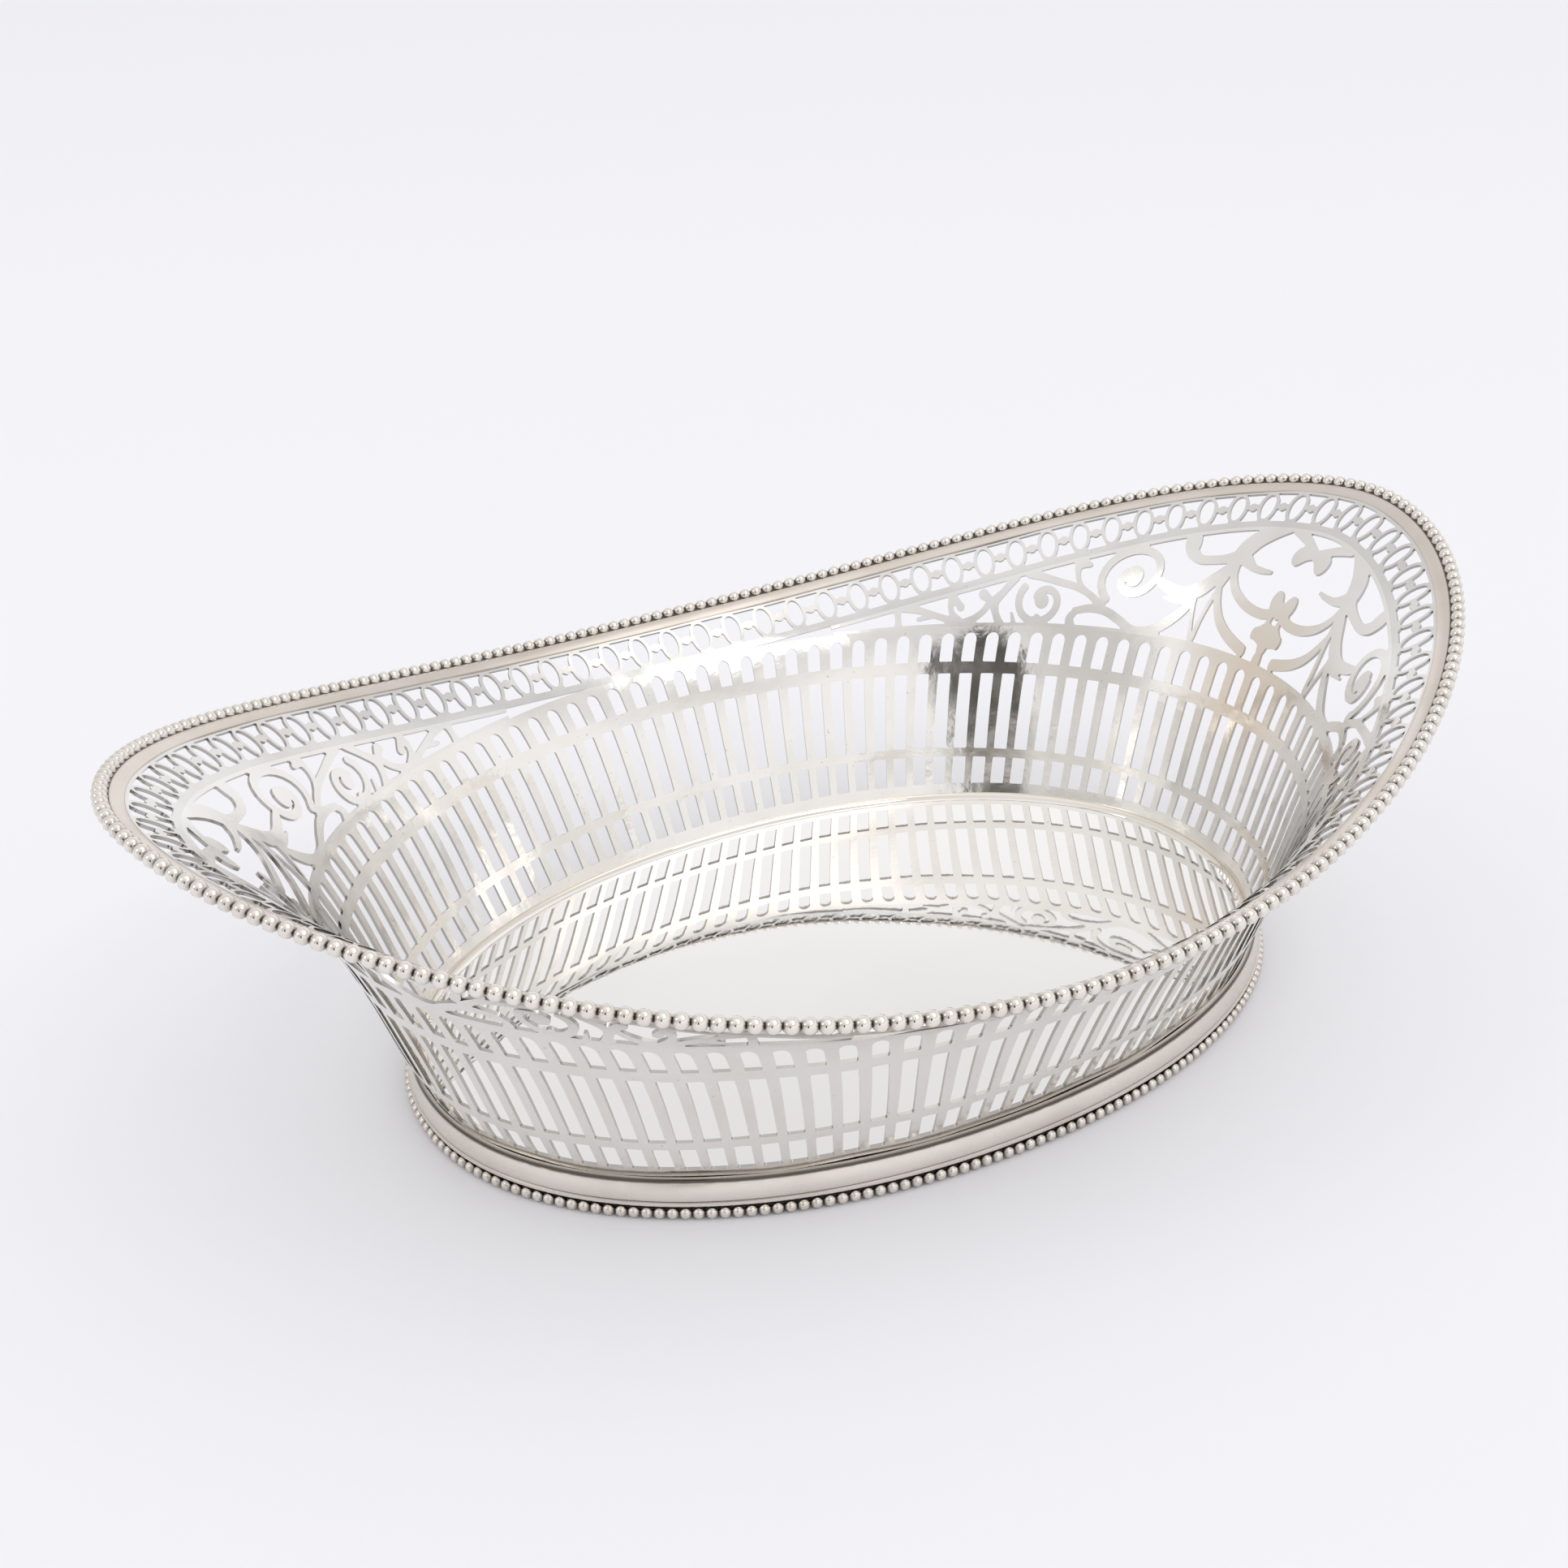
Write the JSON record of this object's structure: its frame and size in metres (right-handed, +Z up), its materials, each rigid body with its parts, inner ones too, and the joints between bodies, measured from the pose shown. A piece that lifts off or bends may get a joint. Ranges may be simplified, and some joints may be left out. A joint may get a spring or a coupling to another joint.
{
  "type": "bread basket",
  "caption": "Oval bread basket of pierced sheet silver on a low foot, its flared rim rising to both ends, with a ring border, scroll panels and beaded wires.",
  "frame": {"origin": "middle of the foot, on the surface that the basket stands on", "axes": "+X along the length towards one high end, +Y across the width, +Z up"},
  "size_m": [0.3458, 0.237, 0.1022],
  "materials": {
    "wall_silver": "polished sheet silver, softly worn",
    "border_silver": "polished pierced sheet silver",
    "scroll_silver": "polished pierced sheet silver",
    "rim_silver": "polished silver band with a warm tone",
    "wire_silver": "beaded silver wire, darkened between the beads",
    "foot_silver": "plain polished silver band",
    "plate_silver": "flat mirror-polished silver plate"
  },
  "bodies": {
    "root": {"wall_right_end": "wall_silver", "border_right_end": "border_silver", "rim_band_right_end": "rim_silver", "rim_wire_right_end": "wire_silver", "foot_band_right_end": "foot_silver", "foot_wire_right_end": "wire_silver", "wall_back": "wall_silver", "border_back": "border_silver", "rim_band_back": "rim_silver", "rim_wire_back": "wire_silver", "foot_band_back": "foot_silver", "foot_wire_back": "wire_silver", "wall_left_end": "wall_silver", "border_left_end": "border_silver", "rim_band_left_end": "rim_silver", "rim_wire_left_end": "wire_silver", "foot_band_left_end": "foot_silver", "foot_wire_left_end": "wire_silver", "wall_front": "wall_silver", "border_front": "border_silver", "rim_band_front": "rim_silver", "rim_wire_front": "wire_silver", "foot_band_front": "foot_silver", "foot_wire_front": "wire_silver", "scroll_panel_right": "scroll_silver", "scroll_panel_left": "scroll_silver", "base_plate": "plate_silver"}
  },
  "joints": []
}
